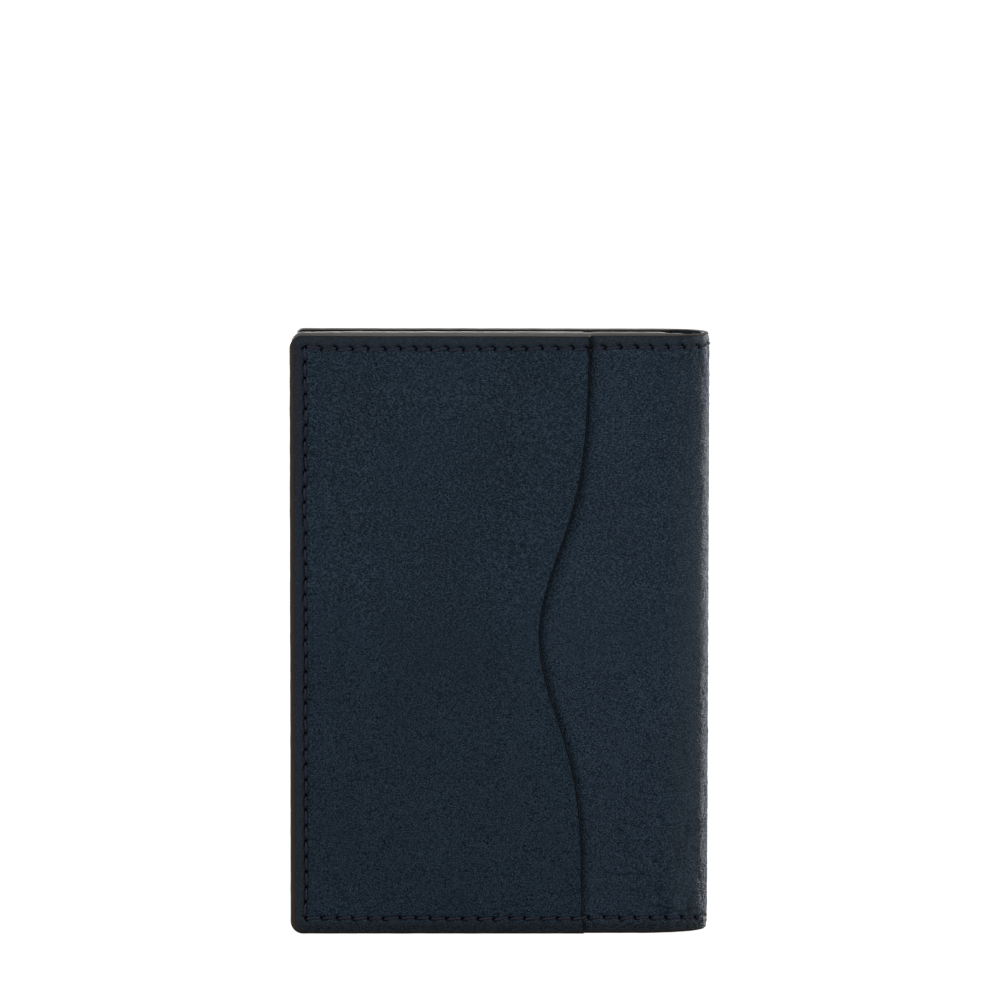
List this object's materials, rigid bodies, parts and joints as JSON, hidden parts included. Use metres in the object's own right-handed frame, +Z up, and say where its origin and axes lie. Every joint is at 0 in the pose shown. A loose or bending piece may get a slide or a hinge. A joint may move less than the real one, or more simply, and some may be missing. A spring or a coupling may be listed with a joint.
{
  "type": "card holder",
  "caption": "Upright bifold leather card holder that folds open like a book, with a wavy-mouthed slip pocket outside and side-loading card pockets inside both leaves.",
  "frame": {"origin": "centre of the bottom of the closed holder's box", "axes": "+Z up along the fold, +X towards the fold, -Y out of the back leaf, which carries the outer pocket"},
  "size_m": [0.0716, 0.0095, 0.104],
  "materials": {
    "cover_leather": "dark navy, fine grain, satin",
    "pocket_leather": "dark navy, fine grain, satin",
    "lining_leather": "dark navy, smooth, matt",
    "edge_paint": "dark painted edge, semi-gloss",
    "thread": "waxed purple-navy sewing thread"
  },
  "bodies": {
    "back_leaf": {"outer_pocket": "pocket_leather", "outer_pocket_welt": "edge_paint", "back_cover": "cover_leather", "back_lining": "lining_leather", "back_slip_welt": "edge_paint", "back_slip_pocket": "pocket_leather", "back_card_welt": "edge_paint", "back_card_pocket": "pocket_leather", "back_thread": "thread"},
    "spine": {"spine_cover": "cover_leather", "spine_lining": "lining_leather", "spine_thread": "thread"},
    "front_leaf": {"front_cover": "cover_leather", "front_lining": "lining_leather", "front_slip_welt": "edge_paint", "front_slip_pocket": "pocket_leather", "front_card_welt": "edge_paint", "front_card_pocket": "pocket_leather", "front_thread": "thread"}
  },
  "joints": [
    {"name": "back_fold", "type": "hinge", "parent": "back_leaf", "child": "spine", "pos_m": [0.03458, -0.00208, 0.052], "axis": [0, 0, -1], "range_deg": [0, 90]},
    {"name": "front_fold", "type": "hinge", "parent": "spine", "child": "front_leaf", "pos_m": [0.03458, 0.00358, 0.052], "axis": [0, 0, -1], "range_deg": [0, 90]}
  ],
  "couplings": [
    {"joint": "front_fold", "follows": "back_fold", "ratio": 1}
  ]
}
